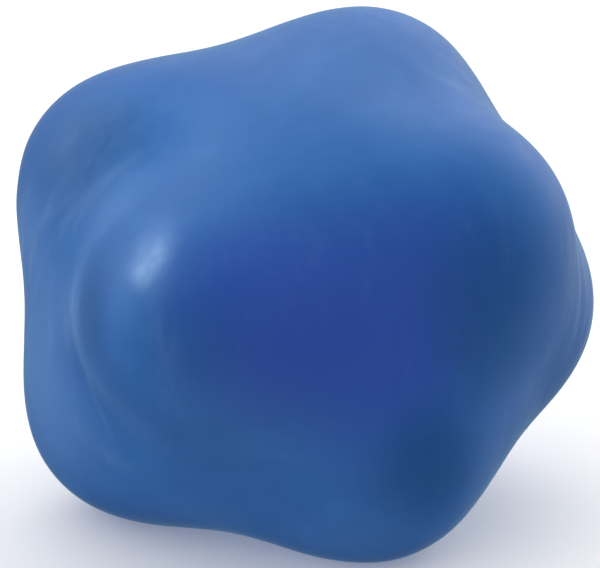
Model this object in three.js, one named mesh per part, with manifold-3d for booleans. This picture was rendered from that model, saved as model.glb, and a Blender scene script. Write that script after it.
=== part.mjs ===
// A stress ball: two latex cover skins stretched over a latex bladder full of fine granules, which keeps the
// dents and lumps of the last squeeze. The bladder's neck is turned inwards under the crown, and closed there
// by a plug and a rubber band.
//
// Millimetres, +Z up. The front of the ball faces -Y. The origin is at the bottom centre of the bounding box:
// the ball stands at z = 0 on three lumps that its own weight has flattened.
import * as THREE from 'three';
import { mergeVertices } from 'three/addons/utils/BufferGeometryUtils.js';
import Module from 'manifold-3d';

const wasm = await Module();
wasm.setup();

// ---- Driving dimensions -------------------------------------------------------------------------------

// The squeezed shape. Azimuths run from +X towards +Y, elevations up from the horizontal, both in degrees.
const BODY_RADIUS = 28; // radius of the ball away from its lumps
const LUMPS = {
  crown: { azimuth: 58, elevation: 48, height: 8.8, spread: 30 },
  leftShoulder: { azimuth: 156, elevation: 25, height: 10.3, spread: 30 },
  rightShoulder: { azimuth: -22, elevation: 28, height: 7.6, spread: 28 },
  rightSide: { azimuth: 12, elevation: -11, height: 8.8, spread: 28 },
  backSide: { azimuth: 95, elevation: 5, height: 5, spread: 30 },
  thumbKnob: { azimuth: -119, elevation: 10, height: 9.4, spread: 28 },
  leftFoot: { azimuth: 181, elevation: -39, height: 10.5, spread: 32 },
  frontFoot: { azimuth: -56, elevation: -47, height: 8.1, spread: 31 },
  backFoot: { azimuth: 68, elevation: -47, height: 9.2, spread: 29 },
  undersideHollow: { azimuth: 95, elevation: -82, height: -4, spread: 25 },
};
const FEET = [LUMPS.leftFoot, LUMPS.frontFoot, LUMPS.backFoot];
// Each groove follows a line of [azimuth, elevation] points.
const GROOVES = {
  fingerGroove: { line: [[-141, 40], [-152, 9], [-136, -18]], depth: 0.8, spread: 17 },
  crownGroove: { line: [[-20, 58], [8, 40]], depth: 1.1, spread: 15 },
  sideGroove: { line: [[4, 20], [-12, -14]], depth: 0.7, spread: 13 },
};
const FOOT_FLAT = 0.6; // the least that the weight of the ball flattens each foot

// Walls and clearances.
const OUTER_WALL = 0.8;
const MIDDLE_WALL = 0.6;
const BLADDER_WALL = 0.6;
const LAYER_GAP = 0.3; // between one layer and the next
const CLOSURE_GAP = 0.3; // round the plug, and round the neck and its band

// Each cover skin was stretched over the ball by its mouth. The two mouths face different ways. The outer one
// has a rolled rim, and the inner one is cut off flush.
const OUTER_MOUTH = { azimuth: 112, elevation: -17, radius: 5, bead: 0.65 };
const MIDDLE_MOUTH = { azimuth: 95, elevation: -83, radius: 4, bead: 0 };

// The closure of the bladder.
const NECK_BORE = 3.5; // radius
const NECK_TAIL = 4; // of the neck below the plug, which the plug moves into as the ball is squeezed flat
const PLUG_LENGTH = 9;
const PLUG_SINK = 1.2; // how far below the crown of the bladder the plug's top lies
const PLUG_RIB = 0.35; // how deep the waists between the plug's ribs are
const PLUG_RIBS = 3;
const BAND_RADIUS = 1.1; // of the round section of the rubber band
const BAND_TURNS = 2;
const BAND_PRESS = 0.2; // how far the band's turns are pressed into one another

// Fineness of the surfaces.
const SHELL_DETAIL = 7;
const ROUND_SEGMENTS = 24;
const SECTION_SEGMENTS = 8;

const CROWN = new THREE.Vector3(0, 0, 1);

// ---- The squeezed surface -----------------------------------------------------------------------------

function toward({ azimuth, elevation }) {
  const up = THREE.MathUtils.degToRad(elevation);
  const round = THREE.MathUtils.degToRad(azimuth);
  return new THREE.Vector3(Math.cos(up) * Math.cos(round), Math.cos(up) * Math.sin(round), Math.sin(up));
}

function bell(angle, spreadDegrees) {
  return Math.exp(-((angle / THREE.MathUtils.degToRad(spreadDegrees)) ** 2));
}

// The angle between a direction and the nearest point of the arc from one direction to another.
function angleToArc(direction, from, to) {
  const normal = from.clone().cross(to).normalize();
  const flat = direction.clone().addScaledVector(normal, -direction.dot(normal)).normalize();
  const along = Math.atan2(flat.dot(normal.clone().cross(from)), flat.dot(from));
  const length = from.angleTo(to);
  if (along >= 0 && along <= length) {
    return direction.angleTo(flat);
  }
  return Math.min(direction.angleTo(from), direction.angleTo(to));
}

const lumpShapes = Object.values(LUMPS).map((lump) => ({ ...lump, centre: toward(lump) }));
const grooveShapes = Object.values(GROOVES).map((groove) => ({
  ...groove,
  points: groove.line.map(([azimuth, elevation]) => toward({ azimuth, elevation })),
}));

function radiusAlong(direction) {
  let radius = BODY_RADIUS;
  for (const lump of lumpShapes) {
    radius += lump.height * bell(direction.angleTo(lump.centre), lump.spread);
  }
  for (const groove of grooveShapes) {
    const angles = groove.points.slice(1).map((to, i) => angleToArc(direction, groove.points[i], to));
    radius -= groove.depth * bell(Math.min(...angles), groove.spread);
  }
  return radius;
}

// The point of the surface along a direction, moved into the ball by an inset, square to the surface.
function surfacePoint(direction, inset) {
  const step = 0.001;
  const sideways = new THREE.Vector3(direction.y, direction.z, direction.x).cross(direction).normalize();
  const across = direction.clone().cross(sideways);
  const spot = (u, v) => {
    const near = direction.clone().addScaledVector(sideways, u).addScaledVector(across, v).normalize();
    return near.multiplyScalar(radiusAlong(near));
  };
  const alongU = spot(step, 0).sub(spot(-step, 0));
  const alongV = spot(0, step).sub(spot(0, -step));
  const normal = alongU.cross(alongV).normalize();
  return spot(0, 0).addScaledVector(normal, -inset);
}

// ---- Solids ---------------------------------------------------------------------------------------------

function toSolid(geometry) {
  const bare = geometry.clone();
  bare.deleteAttribute('normal');
  bare.deleteAttribute('uv');
  const merged = mergeVertices(bare);
  const corners = merged.index.array;
  const faces = [];
  for (let i = 0; i < corners.length; i += 3) {
    const [a, b, c] = corners.slice(i, i + 3);
    if (a !== b && b !== c && c !== a) {
      faces.push(a, b, c);
    }
  }
  const vertProperties = new Float32Array(merged.attributes.position.array);
  return new wasm.Manifold(new wasm.Mesh({ numProp: 3, vertProperties, triVerts: new Uint32Array(faces) }));
}

function toGeometry(solid) {
  const { vertProperties, triVerts } = solid.getMesh();
  const geometry = new THREE.BufferGeometry();
  geometry.setAttribute('position', new THREE.BufferAttribute(vertProperties, 3));
  geometry.setIndex(new THREE.BufferAttribute(triVerts, 1));
  geometry.computeVertexNormals();
  return geometry;
}

const grid = new THREE.IcosahedronGeometry(1, SHELL_DETAIL);

function insetSurface(inset) {
  const geometry = grid.clone();
  const position = geometry.attributes.position;
  const point = new THREE.Vector3();
  for (let i = 0; i < position.count; i += 1) {
    point.fromBufferAttribute(position, i).normalize();
    point.copy(surfacePoint(point, inset));
    position.setXYZ(i, point.x, point.y, point.z);
  }
  return geometry;
}

// The lowest point of a foot before the ball's weight flattens it.
function footTip(foot) {
  const centre = toward(foot);
  const position = skinSurface.attributes.position;
  const point = new THREE.Vector3();
  let lowest = Infinity;
  for (let i = 0; i < position.count; i += 1) {
    point.fromBufferAttribute(position, i);
    if (point.angleTo(centre) < THREE.MathUtils.degToRad(foot.spread)) {
      lowest = Math.min(lowest, point.z);
    }
  }
  return lowest;
}

const skinSurface = insetSurface(0);
skinSurface.computeBoundingBox();
const box = skinSurface.boundingBox;
const floor = Math.max(...FEET.map(footTip)) + FOOT_FLAT;

// Everything inside the surface at an inset, flattened on the floor.
function bodyInside(inset) {
  const body = toSolid(insetSurface(inset));
  const size = box.getSize(new THREE.Vector3()).multiplyScalar(2);
  const above = new THREE.BoxGeometry(size.x, size.y, size.z);
  above.translate(0, 0, floor + inset + size.z / 2);
  return body.intersect(toSolid(above));
}

// A straight round cutter from the middle of the ball out through one of its mouths.
function mouthCutter(mouth) {
  const reach = 2 * radiusAlong(toward(mouth));
  const cutter = new THREE.CylinderGeometry(mouth.radius, mouth.radius, reach, ROUND_SEGMENTS);
  cutter.translate(0, reach / 2, 0);
  cutter.applyQuaternion(new THREE.Quaternion().setFromUnitVectors(new THREE.Vector3(0, 1, 0), toward(mouth)));
  return toSolid(cutter);
}

// The rolled rim of a mouth follows the surface round it.
function mouthBead(mouth, inset) {
  const middle = toward(mouth);
  const sideways = middle.clone().cross(CROWN).normalize();
  const upwards = sideways.clone().cross(middle);
  const opening = Math.asin(mouth.radius / radiusAlong(middle));
  const ring = [];
  for (let i = 0; i < ROUND_SEGMENTS; i += 1) {
    const turn = (i / ROUND_SEGMENTS) * 2 * Math.PI;
    const rim = middle.clone().multiplyScalar(Math.cos(opening));
    rim.addScaledVector(sideways, Math.sin(opening) * Math.cos(turn));
    rim.addScaledVector(upwards, Math.sin(opening) * Math.sin(turn));
    ring.push(surfacePoint(rim, inset));
  }
  const loop = new THREE.CatmullRomCurve3(ring, true);
  return toSolid(new THREE.TubeGeometry(loop, ROUND_SEGMENTS, mouth.bead, SECTION_SEGMENTS, true));
}

function coverSkin(inset, wall, mouth) {
  const shell = bodyInside(inset).subtract(bodyInside(inset + wall)).subtract(mouthCutter(mouth));
  return mouth.bead > 0 ? shell.add(mouthBead(mouth, inset + wall - mouth.bead)) : shell;
}

// A solid turned about the neck's own upright axis, from points of [radius, height].
function turned(profile) {
  const outline = profile.map(([radius, height]) => new THREE.Vector2(radius, height));
  const geometry = new THREE.LatheGeometry(outline, ROUND_SEGMENTS);
  geometry.rotateX(Math.PI / 2);
  geometry.translate(crown.x, crown.y, 0);
  return toSolid(geometry);
}

function rod(radius, bottom, top) {
  return turned([[0, bottom], [radius, bottom], [radius, top], [0, top]]);
}

// ---- Where things go ------------------------------------------------------------------------------------

const outerInset = 0;
const middleInset = outerInset + OUTER_WALL + LAYER_GAP;
const bladderInset = middleInset + MIDDLE_WALL + LAYER_GAP;
const fillInset = bladderInset + BLADDER_WALL + LAYER_GAP;

// The highest point of the bladder, where the surface lies level and the neck goes straight down.
function highestPoint(geometry) {
  const position = geometry.attributes.position;
  const best = new THREE.Vector3(0, 0, -Infinity);
  const point = new THREE.Vector3();
  for (let i = 0; i < position.count; i += 1) {
    point.fromBufferAttribute(position, i);
    if (point.z > best.z) {
      best.copy(point);
    }
  }
  return best;
}

const crown = highestPoint(insetSurface(bladderInset));
const plugTop = crown.z - PLUG_SINK;
const plugBottom = plugTop - PLUG_LENGTH;
const neckOuter = NECK_BORE + BLADDER_WALL;
const neckBottom = plugBottom - NECK_TAIL;
const neckLength = crown.z - neckBottom;
const bandOffset = neckOuter + CLOSURE_GAP + BAND_RADIUS;
const bandMiddle = (plugTop + plugBottom) / 2;
const bandPitch = 2 * BAND_RADIUS - BAND_PRESS;

// ---- Pieces ---------------------------------------------------------------------------------------------

function fillBladder() {
  const outside = bodyInside(bladderInset);
  const shell = outside.subtract(bodyInside(bladderInset + BLADDER_WALL));
  const neck = rod(neckOuter, neckBottom, crown.z).intersect(outside);
  return shell.add(neck).subtract(rod(NECK_BORE, neckBottom - neckLength, crown.z + neckLength));
}

function neckPlug() {
  const radius = NECK_BORE - CLOSURE_GAP;
  const rib = PLUG_LENGTH / (2 * PLUG_RIBS + 1);
  const profile = [[0, plugBottom], [radius - PLUG_RIB, plugBottom]];
  for (let i = 0; i < PLUG_RIBS; i += 1) {
    const start = plugBottom + (2 * i + 1) * rib;
    profile.push([radius - PLUG_RIB, start], [radius, start], [radius, start + rib / 2]);
    profile.push([radius - PLUG_RIB, start + rib]);
  }
  profile.push([radius - PLUG_RIB, plugTop - PLUG_RIB], [radius - 2 * PLUG_RIB, plugTop], [0, plugTop]);
  return turned(profile);
}

// The band's turns lie side by side and are pressed into one another a little.
function neckBand() {
  let band = null;
  for (let i = 0; i < BAND_TURNS; i += 1) {
    const ring = new THREE.TorusGeometry(bandOffset, BAND_RADIUS, SECTION_SEGMENTS, ROUND_SEGMENTS);
    ring.translate(crown.x, crown.y, bandMiddle + (i - (BAND_TURNS - 1) / 2) * bandPitch);
    band = band ? band.add(toSolid(ring)) : toSolid(ring);
  }
  return band;
}

// The granules keep clear of the neck, and of its band as far down as the band moves in a squeeze.
function granuleFill() {
  const wellBottom = neckBottom - CLOSURE_GAP;
  const wellTop = bandMiddle + ((BAND_TURNS - 1) / 2) * bandPitch + BAND_RADIUS + CLOSURE_GAP;
  const neckRoom = rod(neckOuter + CLOSURE_GAP, wellBottom, crown.z + neckLength);
  const bandRoom = rod(bandOffset + BAND_RADIUS + CLOSURE_GAP, wellBottom, wellTop);
  return bodyInside(fillInset).subtract(neckRoom.add(bandRoom));
}

// ---- The ball -------------------------------------------------------------------------------------------

function piece(name, solid, color, roughness) {
  const material = new THREE.MeshStandardMaterial({ color, roughness, metalness: 0 });
  const mesh = new THREE.Mesh(toGeometry(solid), material);
  mesh.name = name;
  return mesh;
}

const ball = new THREE.Group();
ball.add(piece('outer_skin', coverSkin(outerInset, OUTER_WALL, OUTER_MOUTH), 0x2b5ca6, 0.5));
ball.add(piece('middle_skin', coverSkin(middleInset, MIDDLE_WALL, MIDDLE_MOUTH), 0x3a72bd, 0.55));
ball.add(piece('fill_bladder', fillBladder(), 0xd9c9a3, 0.5));
ball.add(piece('granule_fill', granuleFill(), 0xe9e4d8, 0.9));
ball.add(piece('neck_plug', neckPlug(), 0xf1efe9, 0.4));
ball.add(piece('neck_band', neckBand(), 0xb08a55, 0.6));

ball.position.set(-(box.min.x + box.max.x) / 2, -(box.min.y + box.max.y) / 2, -floor);

export default ball;
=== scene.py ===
"""Stress ball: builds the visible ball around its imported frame, laid out as an add-on and run as a script.

The frame holds the squeezed ball as faceted solids. This file stretches fine latex skins over the same
shape, with the folds, creases and rolled mouth of the real ones, fills the bladder with granules, gives each
piece its material, and sets it on a pale floor in soft light. Everything is in metres, in the frame's axes.
"""

import functools
import math

import bmesh
import bpy
import numpy as np
from bpy.props import FloatProperty, FloatVectorProperty, IntProperty, PointerProperty
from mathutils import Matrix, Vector, noise
from mathutils.bvhtree import BVHTree


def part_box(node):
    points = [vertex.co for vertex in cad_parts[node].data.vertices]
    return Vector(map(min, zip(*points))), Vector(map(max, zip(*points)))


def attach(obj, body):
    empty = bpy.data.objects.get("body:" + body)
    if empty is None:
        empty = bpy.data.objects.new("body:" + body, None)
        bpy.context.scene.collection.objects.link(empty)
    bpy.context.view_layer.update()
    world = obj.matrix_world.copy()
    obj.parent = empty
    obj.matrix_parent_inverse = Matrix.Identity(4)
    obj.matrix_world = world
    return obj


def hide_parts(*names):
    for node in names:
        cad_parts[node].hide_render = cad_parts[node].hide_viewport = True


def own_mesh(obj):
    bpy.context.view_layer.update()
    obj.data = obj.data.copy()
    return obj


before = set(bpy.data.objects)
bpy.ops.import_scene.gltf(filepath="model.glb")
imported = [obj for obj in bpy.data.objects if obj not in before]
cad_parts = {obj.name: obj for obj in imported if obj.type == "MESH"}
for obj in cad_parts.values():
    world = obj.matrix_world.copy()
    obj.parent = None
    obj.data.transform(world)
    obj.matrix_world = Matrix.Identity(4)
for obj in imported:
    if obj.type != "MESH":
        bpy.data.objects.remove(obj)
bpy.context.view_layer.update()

bl_info = {
    "name": "Stress ball",
    "version": (1, 0, 0),
    "blender": (4, 5, 0),
    "location": "View3D > Sidebar > Stress Ball",
    "description": "Builds a squeezed latex stress ball around its packed frame",
    "category": "Object",
}

MM = 0.001
FOLD_DUST_AND_GLEAM = "dust_and_gleam"  # the name of the mesh attribute
FOLD_DUST_AND_GLEAM_TINT = (0.20, 0.33, 0.64, 1)  # of the powder and the painted gleam along the outer skin's folds
PAINTED_LIGHT_TINT = (0.10, 0.25, 0.60, 1)  # painted light: the paler colour put on the outer skin's left flank for the light it catches from the left
PAINTED_SHADE_SHARE = 0.7  # painted shade: the colour of the darkened patches, as a share of the skin's own

BODY = "ball"
LAYERS = ("outer_skin", "middle_skin", "fill_bladder", "granule_fill")

# The middle of the ball, from which its surface is seen in every direction.
LOW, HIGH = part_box("outer_skin")
MIDDLE = (LOW + HIGH) / 2
MEAN_RADIUS = sum(HIGH - LOW) / 6

# The layers' insets below the surface are how far their flat feet lie above the floor.
INSET = {name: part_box(name)[0].z - LOW.z for name in LAYERS}

# The neck's axis is the plug's.
PLUG_LOW, PLUG_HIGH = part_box("neck_plug")
NECK_AXIS = (PLUG_LOW + PLUG_HIGH) / 2

# Folds that the stretched latex stands up in, creases that it sinks in, and knuckles, where it is stretched
# over a lump of the fill: (line, width, height), where a line is (azimuth, elevation) points seen from the
# middle of the ball, in degrees, and the rest is in millimetres.
FOLDS = [
    # round the left of the thumb's knob
    ([(-135, 49), (-144, 32), (-149, 18), (-149, 6), (-142, -5), (-133, -16), (-125, -25)], 2.6, 0.20),
    ([(-122, 16), (-117, 6), (-116, -3), (-118, -12)], 1.8, 0.07),
    ([(-152, 44), (-159, 31), (-165, 19), (-166, 12)], 0.9, 0.10),
    ([(-156, 33), (-160, 24), (-161, 15)], 0.7, 0.08),
    ([(-170, 30), (-173, 17), (-176, 8), (-178, -2)], 0.8, 0.12),
    ([(-168, 9), (-164, -2), (-161, -10), (-162, -20)], 1.0, 0.09),
    ([(178, 24), (177, 14), (179, 4), (-178, -6)], 0.8, 0.14),
    ([(170, 20), (169, 8), (172, -5)], 1.0, 0.14),
    ([(-175, 14), (178, 5), (176, -6)], 0.6, 0.10),
    ([(-167, 14), (-171, 6), (-174, -4)], 0.6, 0.08),
    ([(-165, 26), (-170, 19), (-172, 12)], 0.6, 0.08),
    ([(-158, 6), (-155, -3), (-151, -11)], 0.8, 0.07),
    ([(-175, -8), (-171, -18), (-164, -26)], 0.9, 0.07),
    ([(162, 10), (161, -2), (166, -16)], 0.9, 0.12),
    ([(-154, -20), (-146, -28), (-137, -33)], 1.6, 0.08),
    # down the right side
    ([(-15, 25), (-13, 15), (-9, 4), (-9, -7), (-10, -18)], 0.8, 0.09),
    ([(-7, 16), (-4, 6), (-3, -5), (-5, -14)], 0.6, 0.06),
    ([(6, 6), (3, -4), (-1, -13), (-6, -22)], 0.9, 0.08),
    ([(14, 10), (12, -3), (9, -16)], 1.0, 0.08),
    # in the valley between the crown and the right shoulder
    ([(12, 68), (2, 60), (1, 50), (-3, 43), (-13, 38)], 1.1, 0.07),
    ([(26, 60), (16, 50), (9, 41)], 0.9, 0.07),
    # round the back
    ([(146, 30), (134, 16), (130, 2), (133, -12), (142, -26)], 1.5, 0.13),
    ([(152, 18), (145, 4), (146, -10), (155, -24)], 1.2, 0.10),
    ([(64, 4), (70, -10), (80, -24), (96, -36)], 1.4, 0.12),
    ([(66, 28), (58, 12), (50, -4), (44, -20), (42, -34)], 1.5, 0.13),
    ([(54, 14), (46, 0), (39, -14), (36, -28)], 1.1, 0.09),
    ([(76, 42), (90, 33), (108, 28), (126, 30)], 1.7, 0.10),
    ([(30, 30), (26, 16), (24, 2)], 1.3, 0.08),
]
CREASES = [
    ([(-151, 2), (-149, -4), (-145, -10), (-143, -17), (-142, -24), (-142, -31)], 0.5, 0.10),
    ([(-174, 20), (-177, 8), (180, -5)], 0.5, 0.06),
    ([(-11, 18), (-8, 8), (-6, -5), (-8, -16)], 0.4, 0.05),
    ([(135, 10), (130, -2), (132, -14)], 0.5, 0.06),
    ([(57, 6), (50, -8), (45, -22)], 0.5, 0.06),
]
KNUCKLES = [
    ([(-128, 30), (-122, 24), (-121, 17)], 4.2, 0.16),
]

# Where the latex is thicker and its colour deeper: (azimuth, elevation, radius in millimetres, share).
THICK_PATCHES = [
    (-102, 13, 10, 0.7),
    (-86, 9, 13, 0.9),
    (-60, 15, 11, 0.8),
    (-68, -12, 10, 0.6),
]
# Painted shade, with the same columns: patches where the skin's colour is darkened to stand in for the dark
# reflections on its front and the shade on the knob's left flank and the left shoulder; the ones round the
# back are darkened the same way.
PAINTED_SHADE_PATCHES = [
    (-60, -26, 7, 0.8),
    (-45, 13, 8, 0.6),
    (-43, -4, 7, 0.6),
    (-112, 6, 6, 0.3),
    (70, 30, 10, 0.7),
    (20, 10, 9, 0.6),
    (150, -20, 9, 0.6),
    (-172, 34, 8, 0.7),
    (-139, 8, 5.5, 0.75),
]

# Painted light: patches on the left flank where the colour is made paler to stand in for the light that it
# catches from the left.
PAINTED_LIGHT_PATCHES = [
    (-170, -8, 8, 0.5),
    (-160, -24, 8, 0.5),
    (178, 8, 6, 0.5),
    (-150, 30, 5, 0.3),
    (-152, 2, 4, 0.4),
]

# Where the latex is duller: the last number is added to its roughness.
DULL_PATCHES = [
    (-160, 40, 11, 0.40),
    (-141, 8, 7, 0.40),
]

# The studio: (azimuth, elevation, brightness) of each soft panel.
PANELS = [
    (90, 60, 1.5),    # overhead, a little behind
    (-160, 40, 0.6),  # high on the left
    (180, 10, 1.1),   # the left wall
    (30, 20, 1.8),    # behind on the right
    (-90, 0, 0.45),   # weak fill from the front
    (-90, -60, 0.8),  # what the table throws back
]


# ---------------------------------------------------------------------------------------------------------
# Sizes, colours and light that a user would change


class StressBallSizes(bpy.types.PropertyGroup):
    skin_cells: IntProperty(
        name="Skin cells", description="Cells along a quarter turn of the outer skin's surface",
        default=120, min=30, max=240,
    )
    lining_cells: IntProperty(
        name="Lining cells", description="Cells along a quarter turn of the surfaces that stay hidden",
        default=40, min=10, max=120,
    )
    outer_wall: FloatProperty(
        name="Outer wall", description="Thickness of the outer skin's latex",
        default=0.8 * MM, min=0.2 * MM, max=2 * MM, unit="LENGTH", precision=5,
    )
    inner_wall: FloatProperty(
        name="Inner wall", description="Thickness of the middle skin's and the bladder's latex",
        default=0.6 * MM, min=0.2 * MM, max=2 * MM, unit="LENGTH", precision=5,
    )
    outer_mouth: FloatProperty(
        name="Outer mouth", description="Radius of the mouth that the outer skin was stretched on by",
        default=5 * MM, min=2 * MM, max=10 * MM, unit="LENGTH", precision=5,
    )
    middle_mouth: FloatProperty(
        name="Middle mouth", description="Radius of the cut mouth of the middle skin",
        default=4 * MM, min=2 * MM, max=10 * MM, unit="LENGTH", precision=5,
    )
    bead: FloatProperty(
        name="Rolled rim", description="Radius of the roll round the outer skin's mouth",
        default=0.65 * MM, min=0.3 * MM, max=1.5 * MM, unit="LENGTH", precision=5,
    )
    neck_bore: FloatProperty(
        name="Neck bore", description="Radius inside the bladder's neck",
        default=3.5 * MM, min=1 * MM, max=8 * MM, unit="LENGTH", precision=5,
    )
    neck_tail: FloatProperty(
        name="Neck tail", description="How far the bladder's neck hangs below its plug",
        default=4 * MM, min=0, max=10 * MM, unit="LENGTH", precision=5,
    )
    unevenness: FloatProperty(
        name="Unevenness", description="How far the granules underneath push the skin in and out",
        default=0.08 * MM, min=0, max=1 * MM, unit="LENGTH", precision=5,
    )
    pucker: FloatProperty(
        name="Pucker", description="How far the skin gathers in round its mouth",
        default=0.06 * MM, min=0, max=1 * MM, unit="LENGTH", precision=5,
    )
    grain: FloatProperty(
        name="Grain", description="Width of one granule of the fill",
        default=0.9 * MM, min=0.2 * MM, max=3 * MM, unit="LENGTH", precision=5,
    )


def colour(name, description, default):
    return FloatVectorProperty(
        name=name, description=description, default=default, subtype="COLOR", min=0, max=1
    )


class StressBallColours(bpy.types.PropertyGroup):
    outer_latex: colour("Outer latex", "Blue of the outer skin", (0.015, 0.120, 0.420))
    outer_thin: colour("Thin latex", "Blue of the outer skin where it is thin", (0.028, 0.160, 0.500))
    outer_thick: colour("Thick latex", "Blue of the outer skin where it is thickest", (0.029, 0.087, 0.470))
    inner_latex: colour("Inner latex", "Blue of the middle skin", (0.070, 0.200, 0.500))
    bladder_latex: colour("Bladder latex", "Undyed latex of the bladder", (0.680, 0.580, 0.370))
    granules: colour("Granules", "The fill", (0.800, 0.770, 0.700))
    plug: colour("Plug", "Moulded plug in the neck", (0.860, 0.850, 0.820))
    band: colour("Band", "Rubber band round the neck", (0.430, 0.260, 0.100))
    floor: colour("Floor", "Pale floor that the ball stands on", (0.860, 0.860, 0.870))


class StressBallStage(bpy.types.PropertyGroup):
    camera_elevation: FloatProperty(
        name="Camera height", description="Angle that the camera looks down by",
        default=math.radians(20), min=0, max=math.radians(80), subtype="ANGLE",
    )
    camera_distance: FloatProperty(
        name="Camera distance", description="From the camera to the middle of the ball",
        default=0.6, min=0.2, max=5, unit="LENGTH",
    )
    view_width: FloatProperty(
        name="View width", description="Width that the camera sees at the middle of the ball",
        default=73.2 * MM, min=20 * MM, max=1, unit="LENGTH",
    )
    room_light: FloatProperty(
        name="Room light", description="Brightness of the room's panels", default=1, min=0, max=10,
    )
    highlight_power: FloatProperty(
        name="Highlight", description="Power of the small soft light that gleams on the ball, in watts",
        default=6.8, min=0,
    )
    floor_glow: FloatProperty(
        name="Floor glow", description="Light that the floor gives off itself", default=0.2, min=0, max=1,
    )


# ---------------------------------------------------------------------------------------------------------
# The squeezed surface


PROBE_RAYS = 20000  # that look for a skin's mouth


def direction(azimuth, elevation):
    """The unit vector for an azimuth, from +X towards +Y, and an elevation, both in degrees."""
    turn, rise = math.radians(azimuth), math.radians(elevation)
    return Vector((math.cos(rise) * math.cos(turn), math.cos(rise) * math.sin(turn), math.sin(rise)))


def even_directions(count):
    """Directions spread evenly over a sphere, along a spiral."""
    step = np.arange(count) + 0.5
    rise = 1 - 2 * step / count
    turn = math.pi * (1 + math.sqrt(5)) * step
    flat = np.sqrt(1 - rise**2)
    return np.stack([flat * np.cos(turn), flat * np.sin(turn), rise], axis=1)


def corners_and_faces(node):
    """A frame node's corners and triangles as arrays."""
    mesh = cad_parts[node].data
    mesh.calc_loop_triangles()
    corners = np.empty(len(mesh.vertices) * 3)
    mesh.vertices.foreach_get("co", corners)
    triangles = np.empty(len(mesh.loop_triangles) * 3, dtype=np.int64)
    mesh.loop_triangles.foreach_get("vertices", triangles)
    return corners.reshape(-1, 3), triangles.reshape(-1, 3)


@functools.lru_cache
def mouth_direction(node):
    """Where a skin of the frame is open, seen from the middle of the ball."""
    corners, triangles = corners_and_faces(node)
    skin = BVHTree.FromPolygons(corners.tolist(), triangles.tolist())
    rays = [Vector(ray) for ray in even_directions(PROBE_RAYS)]
    missed = [ray for ray in rays if skin.ray_cast(MIDDLE, ray)[0] is None]
    if not missed:
        raise RuntimeError(f"{node} has no mouth")
    return sum(missed, Vector()).normalized()


class Surface:
    """The ball's outer surface as a distance from its middle in every direction.

    The corners of the frame's faceted skin lie on the real surface. This passes a smooth surface through
    them, apart from those of the flattened feet and of the mouth's rim.
    """

    CLEAR_OF_FLOOR = 0.3 * MM
    CLEAR_OF_MOUTH = 1.5
    STEP = 5000

    def __init__(self, mouth_radius):
        corners, triangles = corners_and_faces("outer_skin")
        middle = np.array(MIDDLE)
        ends = corners[triangles]
        normals = np.cross(ends[:, 1] - ends[:, 0], ends[:, 2] - ends[:, 0])
        outward = np.einsum("ij,ij->i", normals, ends.mean(axis=1) - middle) > 0
        used = np.unique(np.round(corners[np.unique(triangles[outward])], 7), axis=0)
        arms = used - middle
        reach = np.linalg.norm(arms, axis=1)
        along = arms @ np.array(mouth_direction("outer_skin"))
        from_mouth_axis = np.sqrt(np.maximum(reach**2 - along**2, 0))
        kept = (along < 0) | (from_mouth_axis > self.CLEAR_OF_MOUTH * mouth_radius)
        kept &= used[:, 2] > LOW.z + self.CLEAR_OF_FLOOR
        self.centres = arms[kept] / reach[kept, None]
        count = len(self.centres)
        system = np.ones((count + 1, count + 1))
        system[:count, :count] = self.spans(self.centres)
        system[count, count] = 0
        self.weights = np.linalg.solve(system, np.append(reach[kept], 0))

    def spans(self, directions):
        """The cube of the distance between each direction and each centre."""
        return np.maximum(2 - 2 * directions @ self.centres.T, 0) ** 1.5

    def points(self, directions):
        """The surface's point in each direction."""
        parts = [
            self.spans(directions[start:start + self.STEP]) @ self.weights[:-1] + self.weights[-1]
            for start in range(0, len(directions), self.STEP)
        ]
        return np.array(MIDDLE) + directions * np.concatenate(parts)[:, None]


@functools.lru_cache
def surface():
    return Surface(bpy.context.scene.stress_ball_sizes.outer_mouth)


def settled(heights, floor, softness=0.5 * MM):
    """Heights flattened on the floor, with a soft turn where the skin leaves it."""
    share = np.clip(0.5 + (heights - floor) / (2 * softness), 0, 1)
    return floor + (heights - floor) * share + softness * share * (1 - share)


# ---------------------------------------------------------------------------------------------------------
# Grids and meshes


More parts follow.
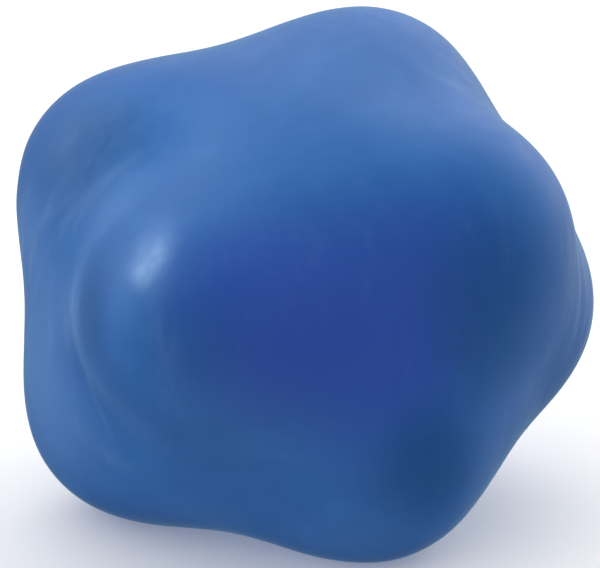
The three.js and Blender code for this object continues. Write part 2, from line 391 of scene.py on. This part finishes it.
class SkinGrid:
    """A cube's grid blown up to a sphere, turned so that its rings run round a mouth, which is open."""

    ROUND_TO, SQUARE_FROM = 1.3, 3.5  # in mouth angles

    def __init__(self, cells, mouth, angle):
        quarter = math.pi / 2
        rings = max(1, round(angle / (quarter / cells)))
        steps = np.arange(cells + 1)
        places, index_of, faces = [], {}, []

        def corner(key):
            if key not in index_of:
                index_of[key] = len(places)
                places.append(key)
            return index_of[key]

        for axis in range(3):
            for side in (0, cells):
                for i in steps[:-1]:
                    for j in steps[:-1]:
                        square = [(i, j), (i + 1, j), (i + 1, j + 1), (i, j + 1)]
                        from_top = max(abs(2 * i + 1 - cells), abs(2 * j + 1 - cells))
                        if axis == 2 and side and from_top < 2 * rings:
                            continue
                        keys = [tuple(int(v) for v in np.insert(pair, axis, side)) for pair in square]
                        faces.append([corner(key) for key in keys])
        grid = np.array(places)
        spread = (2 * grid / cells - 1) * quarter / 2
        self.directions = self.rounded(np.tan(spread), spread, grid[:, 2] == cells, rings, angle, cells)
        turn = np.array(Vector((0, 0, 1)).rotation_difference(mouth).to_matrix())
        self.directions = self.directions @ turn.T
        self.faces = faces
        half = cells // 2
        self.ring = [index_of[key] for key in self.ring_keys(half, rings, cells)]

    @staticmethod
    def ring_keys(half, rings, top):
        """The grid places round the mouth, in order of their turn about it, from the one at -45 degrees."""
        low, high = half - rings, half + rings
        keys = [(high, j, top) for j in range(low, high)]
        keys += [(i, high, top) for i in range(high, low, -1)]
        keys += [(low, j, top) for j in range(high, low, -1)]
        keys += [(i, low, top) for i in range(low, high)]
        return keys

    def rounded(self, square, spread, on_top, rings, angle, cells):
        """Unit directions, with the rings near the mouth made round and the others left square."""
        directions = square / np.linalg.norm(square, axis=1)[:, None]
        across, along = spread[:, 0], spread[:, 1]
        size = np.maximum(np.abs(across), np.abs(along))
        scale = np.where(size > 0, size, 1)
        sideways = np.abs(across) >= np.abs(along)
        turn = np.where(
            sideways,
            np.where(across >= 0, 0, math.pi) + along / scale * np.sign(across) * math.pi / 4,
            np.where(along >= 0, 1, -1) * math.pi / 2 - across / scale * np.sign(along) * math.pi / 4,
        )
        tilt = size * angle / (rings * math.pi / 2 / cells)
        circle = np.stack([np.sin(tilt) * np.cos(turn), np.sin(tilt) * np.sin(turn), np.cos(tilt)], axis=1)
        share = (size / angle - self.ROUND_TO) / (self.SQUARE_FROM - self.ROUND_TO)
        share = np.clip(share, 0, 1)
        share = np.where(on_top, share * share * (3 - 2 * share), 1)[:, None]
        blend = circle * (1 - share) + directions * share
        return blend / np.linalg.norm(blend, axis=1)[:, None]


def vertex_normals(points, faces):
    """Unit normals at the corners of a grid of four-sided faces."""
    quads = np.array(faces)
    normals = np.cross(points[quads[:, 2]] - points[quads[:, 0]], points[quads[:, 3]] - points[quads[:, 1]])
    outward = np.sign(np.einsum("ij,ij->i", normals, points[quads[:, 0]] - np.array(MIDDLE)))
    total = np.zeros_like(points)
    for corner in range(4):
        np.add.at(total, quads[:, corner], normals * outward[:, None])
    return total / np.linalg.norm(total, axis=1)[:, None]


class Layer:
    """Points and faces of one skin or solid of the ball, built up sheet by sheet and ring by ring."""

    def __init__(self, mouth, axis, axis_point):
        self.mouth, self.axis, self.axis_point = mouth, np.array(axis), np.array(axis_point)
        self.points, self.faces = np.zeros((0, 3)), []

    def away(self, points):
        """Unit vectors straight out from the mouth's axis to each point."""
        arms = points - self.axis_point
        arms = arms - np.outer(arms @ self.axis, self.axis)
        return arms / np.linalg.norm(arms, axis=1)[:, None]

    def sheet(self, cells, inset, radius, relief=None):
        """Adds a surface at an inset below the ball's own, open at the mouth. Returns its mouth's ring."""
        reach = (Vector(surface().points(np.array([self.mouth]))[0]) - MIDDLE).length
        grid = SkinGrid(cells, self.mouth, math.asin(radius / reach))
        points = surface().points(grid.directions)
        normals = vertex_normals(points, grid.faces)
        depth = np.full(len(points), -inset)
        if relief:
            depth += relief(points, grid.directions)
        points = points + normals * depth[:, None]
        points[:, 2] = settled(points[:, 2], LOW.z + inset)
        ring = np.array(grid.ring)
        rim = points[ring]
        height = (rim - self.axis_point) @ self.axis
        points[ring] = self.axis_point + np.outer(height, self.axis) + self.away(rim) * radius
        first = len(self.points)
        self.points = np.concatenate([self.points, points])
        self.faces += [[first + corner for corner in face] for face in grid.faces]
        return (ring + first).tolist()

    def rings(self, ring, profile):
        """Adds rings after one, each set off by (away from the mouth's axis, along it). Returns the last."""
        start = self.points[ring]
        away = self.away(start)
        for out, along in profile:
            first = len(self.points)
            self.points = np.concatenate([self.points, start + away * out + self.axis * along])
            last, ring = ring, list(range(first, first + len(ring)))
            self.join(last, ring)
        return ring

    def join(self, one, other):
        """Faces between two rings that start at the same turn, which may have different counts."""
        if len(one) == len(other):
            for i in range(len(one)):
                after = (i + 1) % len(one)
                self.faces.append([one[i], one[after], other[after], other[i]])
            return
        i = j = 0
        while i < len(one) or j < len(other):
            if (i + 1) * len(other) <= (j + 1) * len(one):
                self.faces.append([one[i], one[(i + 1) % len(one)], other[j % len(other)]])
                i += 1
            else:
                self.faces.append([one[i % len(one)], other[(j + 1) % len(other)], other[j]])
                j += 1

    def cap(self, ring):
        """Closes a ring with a fan of faces."""
        self.points = np.concatenate([self.points, self.points[ring].mean(axis=0)[None]])
        tip = len(self.points) - 1
        self.faces += [[ring[i], ring[(i + 1) % len(ring)], tip] for i in range(len(ring))]

    def piece(self, name, material, slot, node):
        """Makes the object, which rides on the ball, and replaces its node."""
        mesh = bpy.data.meshes.new(name)
        mesh.from_pydata(self.points.tolist(), [], self.faces)
        shell = bmesh.new()
        shell.from_mesh(mesh)
        bmesh.ops.recalc_face_normals(shell, faces=shell.faces)
        shell.to_mesh(mesh)
        shell.free()
        mesh.shade_smooth()
        mesh.materials.append(material)
        made = bpy.data.objects.new(name, mesh)
        bpy.context.scene.collection.objects.link(made)
        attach(made, BODY)
        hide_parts(node)
        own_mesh(made)
        return made


# ---------------------------------------------------------------------------------------------------------
# Relief


def smooth_line(line, steps=5):
    """Unit vectors along a smooth curve through a line's (azimuth, elevation) points."""
    knots = [direction(*point) for point in line]
    knots = [2 * knots[0] - knots[1], *knots, 2 * knots[-1] - knots[-2]]
    curve = []
    for a, b, c, d in zip(knots, knots[1:], knots[2:], knots[3:]):
        for step in range(steps):
            t = step / steps
            bend = a * (-t + 2 * t**2 - t**3) + b * (2 - 5 * t**2 + 3 * t**3)
            bend += c * (t + 4 * t**2 - 3 * t**3) + d * (t**3 - t**2)
            curve.append(bend.normalized())
    curve.append(knots[-2].normalized())
    return np.array(curve)


def along_line(directions, line, width):
    """Which directions lie near a line, how many widths off they are, and their share of the way along it."""
    curve = smooth_line(line)
    centre = curve.mean(axis=0)
    centre /= np.linalg.norm(centre)
    margin = 3 * width / MEAN_RADIUS
    near = np.flatnonzero(directions @ centre > math.cos(math.acos((curve @ centre).min()) + margin))
    rays = directions[near]
    gap, share = np.full(len(near), np.inf), np.zeros(len(near))
    for i, (start, end) in enumerate(zip(curve, curve[1:])):
        way = end - start
        part = np.clip((rays - start) @ way / (way @ way), 0, 1)
        off = np.linalg.norm(rays - start - part[:, None] * way, axis=1)
        closer = off < gap
        gap[closer] = off[closer]
        share[closer] = (i + part[closer]) / (len(curve) - 1)
    return near, gap * MEAN_RADIUS / width, share


def rippled(points, pitch, seed):
    """Smooth noise from -1 to 1 at each point, with waves of about a pitch."""
    shift = Vector((seed * 7.3, seed * 3.1, seed * 5.7))
    return np.array([noise.noise(Vector(point) / pitch + shift) for point in points])


PUCKERS = 22  # round the mouth
PUCKER_START, PUCKER_END = 11, 17  # how far they are from its middle, in degrees
FULL_DUST_AND_GLEAM = 0.1  # the height of a fold that has all of its powder and painted gleam, in millimetres
GRAIN_DEPTH = 0.25  # how far a granule stands out, as a share of its width


def puckered(directions):
    """Gathers that run out from the outer mouth and die away, from -1 to 1."""
    mouth = mouth_direction("outer_skin")
    sideways = mouth.orthogonal().normalized()
    across, along = directions @ np.array(sideways), directions @ np.array(mouth.cross(sideways))
    turn = np.arctan2(along, across)
    from_mouth = np.arccos(np.clip(directions @ np.array(mouth), -1, 1))
    waves = np.sin(PUCKERS * turn + 1.4 * np.sin(3 * turn)) * (0.6 + 0.4 * np.sin(5 * turn + 1))
    fade = np.exp(-((from_mouth / math.radians(PUCKER_END)) ** 4))
    return waves * fade * np.clip(from_mouth / math.radians(PUCKER_START), 0, 1) ** 3


class SkinRelief:
    """How far the outer skin stands proud of the ball's smooth surface, and how much powder and painted gleam
    its folds and creases carry.
    """

    def __call__(self, points, directions):
        sizes = bpy.context.scene.stress_ball_sizes
        relief = sizes.unevenness * rippled(points, 11 * MM, 1)
        relief += 0.3 * sizes.unevenness * rippled(points, 4 * MM, 2)
        relief += sizes.pucker * puckered(directions)
        wander = 1 + 0.6 * rippled(points, 5 * MM, 3)
        self.dust_and_gleam = np.zeros(len(points))
        for lines, sign, ends in ((FOLDS, 1, True), (CREASES, -1, True), (KNUCKLES, 1, False)):
            for line, width, height in lines:
                near, gap, share = along_line(directions, line, width * MM)
                shape = np.exp(-(gap**2)) * wander[near]
                if ends:
                    shape *= np.sin(math.pi * share)
                    self.dust_and_gleam[near] += shape * min(1, height / FULL_DUST_AND_GLEAM)
                relief[near] += sign * height * MM * shape
        self.dust_and_gleam = np.clip(self.dust_and_gleam, 0, 1)
        return relief


def grain_relief(points, directions):
    """Granules standing out of the fill's surface."""
    grain = bpy.context.scene.stress_ball_sizes.grain
    near = np.array([noise.voronoi(Vector(point) / grain)[0][0] for point in points])
    return GRAIN_DEPTH * grain * (0.5 - near)


# ---------------------------------------------------------------------------------------------------------
# Materials


def put(tree, socket, value):
    """Links a value to a socket, or sets the socket to it."""
    if isinstance(value, bpy.types.NodeSocket):
        tree.links.new(value, socket)
    else:
        socket.default_value = value


def new_material(name, base, roughness):
    """A material with its own node tree, its shader, and a helper that adds nodes to it."""
    material = bpy.data.materials.new(name)
    material.use_nodes = True
    nodes, links = material.node_tree.nodes, material.node_tree.links
    shader = nodes["Principled BSDF"]
    shader.inputs["Base Color"].default_value = (*base, 1)
    shader.inputs["Roughness"].default_value = roughness
    place = nodes.new("ShaderNodeTexCoord").outputs["Object"]

    def add(kind, values=(), **settings):
        node = nodes.new(kind)
        for key, value in settings.items():
            setattr(node, key, value)
        for socket, value in dict(values).items():
            put(material.node_tree, node.inputs[socket], value)
        return node

    return material, shader, add, place, links


def stretched(add, place, scale):
    """The piece's own coordinates, scaled by axis, so that a pattern runs in streaks."""
    return add("ShaderNodeMapping", {"Vector": place, "Scale": scale}).outputs["Vector"]


def patches(add, where, pitch, detail=3.0, roughness=0.5, distortion=0.0):
    """Noise from 0 to 1 with patches of about a pitch, in metres."""
    values = {"Vector": where, "Scale": 1 / pitch, "Detail": detail, "Roughness": roughness}
    values["Distortion"] = distortion
    return add("ShaderNodeTexNoise", values).outputs["Fac"]


def ranged(add, value, low, high, to_low, to_high):
    """A value taken from one range to another, smoothly and no further."""
    values = {"Value": value, "From Min": low, "From Max": high, "To Min": to_low, "To Max": to_high}
    return add("ShaderNodeMapRange", values, interpolation_type="SMOOTHSTEP").outputs["Result"]


def mixed(add, share, one, other):
    """A colour between two others."""
    node = add("ShaderNodeMix", data_type="RGBA")
    for socket, value in ((0, share), (6, one), (7, other)):  # the mix node's factor and colour sockets
        put(node.id_data, node.inputs[socket], value)
    return node.outputs[2]


def patch(add, place, azimuth, elevation, radius, strength):
    """A soft round patch of the ball: its strength in the middle, and 0 outside it."""
    ray = np.array([direction(azimuth, elevation)])
    spot = add("ShaderNodeVectorMath", {0: place, 1: surface().points(ray)[0].tolist()}, operation="DISTANCE")
    return ranged(add, spot.outputs["Value"], 0.2 * radius * MM, 1.6 * radius * MM, strength, 0)


def patched(add, place, tint, places, other):
    """A tint taken towards another one in soft round patches."""
    for azimuth, elevation, radius, share in places:
        tint = mixed(add, patch(add, place, azimuth, elevation, radius, share), tint, other)
    return tint


def latex(name, base, thin, roughness, dust_and_gleam, thick=None, relief=0.02 * MM):
    """Dipped latex: satin, a little uneven in colour where it is stretched, with faint powdery streaks."""
    material, shader, add, place, links = new_material(name, base, roughness)
    cloudy = patches(add, place, 14 * MM, detail=4, distortion=0.6)
    streaky = patches(add, stretched(add, place, (1, 1, 0.25)), 2.2 * MM, detail=5, roughness=0.6)
    fine = patches(add, place, 0.5 * MM, detail=2)
    tint = mixed(add, ranged(add, cloudy, 0.35, 0.7, 0, 0.6), (*base, 1), (*thin, 1))
    if thick:
        tint = patched(add, place, tint, THICK_PATCHES, (*thick, 1))
        # painted shade: darker patches for the dark reflections and the shade
        tint = patched(add, place, tint, PAINTED_SHADE_PATCHES, (*(PAINTED_SHADE_SHARE * channel for channel in base), 1))
        # painted light: paler patches on the left flank for the light from the left
        tint = patched(add, place, tint, PAINTED_LIGHT_PATCHES, PAINTED_LIGHT_TINT)
    dusty = ranged(add, streaky, 0.52, 0.78, 0, dust_and_gleam)
    pale = tuple(0.55 * channel + 0.3 for channel in thin)
    tint = mixed(add, dusty, tint, (*pale, 1))
    if thick:
        # powder and painted gleam along the folds and creases, paler where they run
        fold_marks = add("ShaderNodeAttribute", attribute_name=FOLD_DUST_AND_GLEAM).outputs["Fac"]
        fold_streak_share = ranged(add, streaky, 0.3, 0.7, 0.02, 0.2)
        fold_dust_and_gleam_share = add("ShaderNodeMath", {0: fold_marks, 1: fold_streak_share}, operation="MULTIPLY")
        tint = mixed(add, fold_dust_and_gleam_share.outputs[0], tint, FOLD_DUST_AND_GLEAM_TINT)
    links.new(tint, shader.inputs["Base Color"])
    rough = ranged(add, streaky, 0.3, 0.75, roughness - 0.05, roughness + 0.08)
    if thick:
        for dull in DULL_PATCHES:
            duller = add("ShaderNodeMath", {0: rough, 1: patch(add, place, *dull)}, operation="ADD")
            rough = duller.outputs[0]
    links.new(rough, shader.inputs["Roughness"])
    bump = add("ShaderNodeBump", {"Height": fine, "Strength": 0.35, "Distance": relief})
    broad = add("ShaderNodeBump", {"Height": streaky, "Strength": 0.5, "Distance": 2 * relief})
    links.new(broad.outputs["Normal"], bump.inputs["Normal"])
    links.new(bump.outputs["Normal"], shader.inputs["Normal"])
    shader.inputs["Specular IOR Level"].default_value = 0.35
    shader.inputs["Specular Tint"].default_value = (0.6, 0.85, 1, 1)
    shader.inputs["Sheen Weight"].default_value = 0.42
    shader.inputs["Sheen Roughness"].default_value = 0.22
    shader.inputs["Sheen Tint"].default_value = (0.5, 0.86, 1, 1)
    return material


def outer_finish(colours):
    return latex("outer_latex", colours.outer_latex, colours.outer_thin, 0.38, 0.03, colours.outer_thick)


def granular(name, base):
    """Loose pale granules: each a little lighter or darker than the next."""
    material, shader, add, place, links = new_material(name, base, 0.9)
    cells = add("ShaderNodeTexVoronoi", {"Vector": place, "Scale": 1 / (0.9 * MM)})
    shade = tuple(0.6 * channel for channel in base)
    each = add("ShaderNodeSeparateColor", {"Color": cells.outputs["Color"]}).outputs["Red"]
    tint = mixed(add, ranged(add, each, 0, 1, 0, 0.5), (*base, 1), (*shade, 1))
    links.new(tint, shader.inputs["Base Color"])
    links.new(ranged(add, each, 0, 1, 0.8, 0.98), shader.inputs["Roughness"])
    bump = add("ShaderNodeBump", {"Height": cells.outputs["Distance"], "Strength": 0.8, "Distance": 0.1 * MM})
    bump.invert = True
    links.new(bump.outputs["Normal"], shader.inputs["Normal"])
    return material


def moulded(name, base, roughness):
    """A small moulding: nearly plain, with a fine spark-eroded texture and faint flow marks."""
    material, shader, add, place, links = new_material(name, base, roughness)
    flow = patches(add, stretched(add, place, (1, 1, 0.3)), 2 * MM, detail=3, distortion=1)
    fine = patches(add, place, 0.15 * MM)
    shade = tuple(0.8 * channel for channel in base)
    tint = mixed(add, ranged(add, flow, 0.4, 0.7, 0, 0.5), (*base, 1), (*shade, 1))
    links.new(tint, shader.inputs["Base Color"])
    links.new(ranged(add, fine, 0.3, 0.7, roughness - 0.06, roughness + 0.08), shader.inputs["Roughness"])
    bump = add("ShaderNodeBump", {"Height": fine, "Strength": 0.3, "Distance": 0.01 * MM})
    links.new(bump.outputs["Normal"], shader.inputs["Normal"])
    return material


def painted(name, base, glow):
    """Matt paint on the sweep, with the faint unevenness of a roller."""
    material, shader, add, place, links = new_material(name, base, 0.9)
    rolled = patches(add, place, 20 * MM)
    shade = tuple(0.98 * channel for channel in base)
    links.new(mixed(add, rolled, (*base, 1), (*shade, 1)), shader.inputs["Base Color"])
    shader.inputs["Emission Color"].default_value = (*base, 1)
    shader.inputs["Emission Strength"].default_value = glow
    return material


# ---------------------------------------------------------------------------------------------------------
# Pieces


def mouth_layer(node):
    """A layer whose mouth is where the frame's node is open."""
    mouth = mouth_direction(node)
    return Layer(mouth, mouth, MIDDLE)


def neck_layer():
    """A layer that opens at the crown, round the bladder's upright neck."""
    crown = Vector((NECK_AXIS.x, NECK_AXIS.y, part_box("fill_bladder")[1].z))
    return Layer((crown - MIDDLE).normalized(), (0, 0, 1), (*crown.xy, 0))


class STRESSBALL_OT_outer_skin(bpy.types.Operator):
    """Stretch the outer latex skin over the ball, with its folds, creases and rolled mouth"""

    bl_idname = "stressball.outer_skin"
    bl_label = "Outer skin"

    BEAD_TURNS = 14  # faces round the roll

    def execute(self, context):
        sizes, colours = context.scene.stress_ball_sizes, context.scene.stress_ball_colours
        layer = mouth_layer("outer_skin")
        relief = SkinRelief()
        ring = layer.sheet(sizes.skin_cells, INSET["outer_skin"], sizes.outer_mouth, relief)
        ring = layer.rings(ring, self.roll(sizes.bead, sizes.outer_wall))
        lining = layer.sheet(sizes.lining_cells, sizes.outer_wall, sizes.outer_mouth)
        layer.join(ring, lining)
        material = outer_finish(colours)
        skin = layer.piece("outer_latex_skin", material, "outer_latex", "outer_skin")
        # the folds' powder and painted gleam, kept on the skin's points for its colour
        dust_and_gleam = np.zeros(len(layer.points))
        dust_and_gleam[:len(relief.dust_and_gleam)] = relief.dust_and_gleam
        skin.data.attributes.new(FOLD_DUST_AND_GLEAM, "FLOAT", "POINT").data.foreach_set("value", dust_and_gleam)
        return {"FINISHED"}

    def roll(self, bead, wall):
        """The rolled rim as offsets from the edge of the skin: up over the outside and in under it."""
        start, end = math.radians(150), math.radians(-120)
        middle = (0, bead - wall)
        turns = [start + (end - start) * i / self.BEAD_TURNS for i in range(self.BEAD_TURNS + 1)]
        return [(middle[0] + bead * math.cos(t), middle[1] + bead * math.sin(t)) for t in turns]


class STRESSBALL_OT_middle_skin(bpy.types.Operator):
    """Lay the second latex skin under the outer one, with its mouth cut off flush"""

    bl_idname = "stressball.middle_skin"
    bl_label = "Middle skin"

    def execute(self, context):
        sizes, colours = context.scene.stress_ball_sizes, context.scene.stress_ball_colours
        layer = mouth_layer("middle_skin")
        inset = INSET["middle_skin"]
        ring = layer.sheet(2 * sizes.lining_cells, inset, sizes.middle_mouth)
        lining = layer.sheet(sizes.lining_cells, inset + sizes.inner_wall, sizes.middle_mouth)
        layer.join(ring, lining)
        thin = tuple(1.2 * channel for channel in colours.inner_latex)
        material = latex("inner_latex", colours.inner_latex, thin, 0.5, 0.15)
        layer.piece("middle_latex_skin", material, "inner_latex", "middle_skin")
        return {"FINISHED"}


class STRESSBALL_OT_fill_bladder(bpy.types.Operator):
    """Make the bladder that holds the granules, its neck turned in under the crown"""

    bl_idname = "stressball.fill_bladder"
    bl_label = "Fill bladder"

    NECK_STEPS = 10

    def execute(self, context):
        sizes, colours = context.scene.stress_ball_sizes, context.scene.stress_ball_colours
        layer = neck_layer()
        inset = INSET["fill_bladder"]
        wall = sizes.inner_wall
        ring = layer.sheet(2 * sizes.lining_cells, inset, sizes.neck_bore)
        length = float(layer.points[ring][:, 2].mean()) - (PLUG_LOW.z - sizes.neck_tail)
        depths = [length * (i + 1) / self.NECK_STEPS for i in range(self.NECK_STEPS)]
        profile = [(0, -depth) for depth in depths]
        profile += [(wall, -depth) for depth in reversed(depths) if depth > 2 * wall]
        ring = layer.rings(ring, profile)
        lining = layer.sheet(sizes.lining_cells, inset + wall, sizes.neck_bore + wall)
        layer.join(ring, lining)
        thin = tuple(1.15 * channel for channel in colours.bladder_latex)
        material = latex("bladder_latex", colours.bladder_latex, thin, 0.45, 0.1)
        layer.piece("bladder_latex_skin", material, "bladder_latex", "fill_bladder")
        return {"FINISHED"}


class STRESSBALL_OT_granule_fill(bpy.types.Operator):
    """Fill the bladder with granules, leaving room for its neck and band"""

    bl_idname = "stressball.granule_fill"
    bl_label = "Granule fill"

    def execute(self, context):
        sizes, colours = context.scene.stress_ball_sizes, context.scene.stress_ball_colours
        band_low, band_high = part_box("neck_band")
        gap = INSET["middle_skin"] - sizes.outer_wall
        neck = sizes.neck_bore + sizes.inner_wall + gap
        layer = neck_layer()
        ring = layer.sheet(2 * sizes.lining_cells, INSET["granule_fill"], neck, grain_relief)
        top = float(layer.points[ring][:, 2].mean())
        room = (band_high.x - band_low.x) / 2 + gap - neck
        shelf, bottom = top - band_high.z - gap, top - (PLUG_LOW.z - sizes.neck_tail - gap)
        layer.cap(layer.rings(ring, [(0, -shelf), (room, -shelf), (room, -bottom)]))
        material = granular("fill_granules", colours.granules)
        layer.piece("granules", material, "granules", "granule_fill")
        return {"FINISHED"}


class STRESSBALL_OT_closure(bpy.types.Operator):
    """Give the plug and the rubber band in the neck their materials"""

    bl_idname = "stressball.closure"
    bl_label = "Closure"

    def execute(self, context):
        colours = context.scene.stress_ball_colours
        plug = moulded("plug_plastic", colours.plug, 0.4)
        dark = tuple(0.8 * channel for channel in colours.band)
        band = latex("band_rubber", colours.band, dark, 0.55, 0.2)
        for name, material in (("neck_plug", plug), ("neck_band", band)):
            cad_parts[name].material_slots[0].material = material
        return {"FINISHED"}


# ---------------------------------------------------------------------------------------------------------
# Stage


HIGHLIGHT = (MIDDLE + 0.8 * direction(-180, 43), (0.48, 0.40))  # its place and its size, in metres
AIM_SHIFT = Vector((-0.8 * MM, 0, -0.8 * MM))  # from the middle of the ball to what the camera looks at
SENSOR = 36  # the camera's, in millimetres


def look_at(thing, place, target):
    """Puts a light or a camera in its place, turned to its target."""
    thing.location = place
    thing.rotation_mode = "QUATERNION"
    thing.rotation_quaternion = (Vector(target) - Vector(place)).to_track_quat("-Z", "Y")


def soft_light(name, place, size, power):
    """A soft light that shows only as a gleam."""
    lamp = bpy.data.lights.new(name, "AREA")
    lamp.shape = "RECTANGLE"
    lamp.size, lamp.size_y = size
    lamp.energy = power
    light = bpy.data.objects.new(name, lamp)
    bpy.context.scene.collection.objects.link(light)
    light.visible_diffuse = False
    look_at(light, place, MIDDLE)


class STRESSBALL_OT_stage(bpy.types.Operator):
    """Set out the pale floor, the soft lights and the camera"""

    bl_idname = "stressball.stage"
    bl_label = "Stage"

    SWEEP = ((0, 0), (2.2, 0), (2.5, 0.08), (2.7, 0.3), (2.78, 0.6), (2.8, 3))  # (radius, height), in metres
    SWEEP_STEPS = 64

    PANEL_SHARPNESS = 4  # how fast a panel fades round its middle

    def execute(self, context):
        stage = context.scene.stress_ball_stage
        self.floor(context)
        self.room(context)
        soft_light("highlight", *HIGHLIGHT, stage.highlight_power)
        self.camera(context)
        context.scene.view_settings.view_transform = "Standard"
        return {"FINISHED"}

    def floor(self, context):
        """A pale floor that curves up into a wall all round. It takes shadows, and throws no light back."""
        colours = context.scene.stress_ball_colours
        sweep = bmesh.new()
        profile = [sweep.verts.new((radius, 0, LOW.z + height)) for radius, height in self.SWEEP]
        edges = [sweep.edges.new(pair) for pair in zip(profile, profile[1:])]
        bmesh.ops.spin(
            sweep, geom=profile + edges, axis=(0, 0, 1), cent=(0, 0, 0),
            steps=self.SWEEP_STEPS, angle=2 * math.pi,
        )
        bmesh.ops.remove_doubles(sweep, verts=sweep.verts, dist=0.001)
        bmesh.ops.recalc_face_normals(sweep, faces=sweep.faces)
        mesh = bpy.data.meshes.new("floor")
        sweep.to_mesh(mesh)
        sweep.free()
        mesh.shade_smooth()
        glow = context.scene.stress_ball_stage.floor_glow
        mesh.materials.append(painted("floor_paint", colours.floor, glow))
        floor = bpy.data.objects.new("floor", mesh)
        context.scene.collection.objects.link(floor)
        floor.visible_diffuse = floor.visible_glossy = floor.visible_shadow = False

    def room(self, context):
        """The panels all round, each a soft spot of light in the world."""
        world = bpy.data.worlds.new("room")
        world.use_nodes = True
        nodes, links = world.node_tree.nodes, world.node_tree.links
        way = nodes.new("ShaderNodeTexCoord").outputs["Generated"]

        def maths(operation, one, other):
            node = nodes.new("ShaderNodeMath")
            node.operation = operation
            for socket, value in zip(node.inputs, (one, other)):
                put(world.node_tree, socket, value)
            return node.outputs[0]

        total = 0
        for azimuth, elevation, brightness in PANELS:
            turn = nodes.new("ShaderNodeVectorMath")
            turn.operation = "DOT_PRODUCT"
            links.new(way, turn.inputs[0])
            turn.inputs[1].default_value = direction(azimuth, elevation)
            fall = maths("MULTIPLY", maths("SUBTRACT", turn.outputs["Value"], 1), self.PANEL_SHARPNESS)
            panel = maths("MULTIPLY", maths("EXPONENT", fall, 0), brightness)
            total = maths("ADD", total, panel)
        light = nodes["Background"]
        light.inputs["Color"].default_value = (1, 1, 1, 1)
        strength = maths("MULTIPLY", total, context.scene.stress_ball_stage.room_light)
        links.new(strength, light.inputs["Strength"])
        context.scene.world = world

    def camera(self, context):
        stage = context.scene.stress_ball_stage
        lens = bpy.data.cameras.new("camera")
        lens.sensor_width = SENSOR
        lens.lens = lens.sensor_width * stage.camera_distance / stage.view_width
        lens.clip_start = 0.01
        camera = bpy.data.objects.new("camera", lens)
        context.scene.collection.objects.link(camera)
        rise = stage.camera_elevation
        aim = MIDDLE + AIM_SHIFT
        back = Vector((0, -math.cos(rise), math.sin(rise)))
        look_at(camera, aim + back * stage.camera_distance, aim)
        context.scene.camera = camera


# ---------------------------------------------------------------------------------------------------------
# The add-on

PIECE_OPERATORS = (
    STRESSBALL_OT_outer_skin,
    STRESSBALL_OT_middle_skin,
    STRESSBALL_OT_fill_bladder,
    STRESSBALL_OT_granule_fill,
    STRESSBALL_OT_closure,
    STRESSBALL_OT_stage,
)


class STRESSBALL_PT_panel(bpy.types.Panel):
    """Sizes, colours and pieces of the stress ball"""

    bl_label = "Stress Ball"
    bl_idname = "STRESSBALL_PT_panel"
    bl_space_type = "VIEW_3D"
    bl_region_type = "UI"
    bl_category = "Stress Ball"

    def draw(self, context):
        for group in GROUPS:
            column = self.layout.box().column()
            settings = getattr(context.scene, group)
            for name in settings.bl_rna.properties.keys():
                if name not in ("rna_type", "name"):
                    column.prop(settings, name)
        for operator in PIECE_OPERATORS:
            self.layout.operator(operator.bl_idname)


GROUPS = {
    "stress_ball_sizes": StressBallSizes,
    "stress_ball_colours": StressBallColours,
    "stress_ball_stage": StressBallStage,
}
CLASSES = (*GROUPS.values(), *PIECE_OPERATORS, STRESSBALL_PT_panel)


def register():
    for cls in CLASSES:
        bpy.utils.register_class(cls)
    for name, group in GROUPS.items():
        setattr(bpy.types.Scene, name, PointerProperty(type=group))


def unregister():
    for name in GROUPS:
        delattr(bpy.types.Scene, name)
    for cls in reversed(CLASSES):
        bpy.utils.unregister_class(cls)


def main():
    register()
    bpy.ops.stressball.outer_skin()
    bpy.ops.stressball.middle_skin()
    bpy.ops.stressball.fill_bladder()
    bpy.ops.stressball.granule_fill()
    bpy.ops.stressball.closure()
    bpy.ops.stressball.stage()


if __name__ == "__main__":
    main()
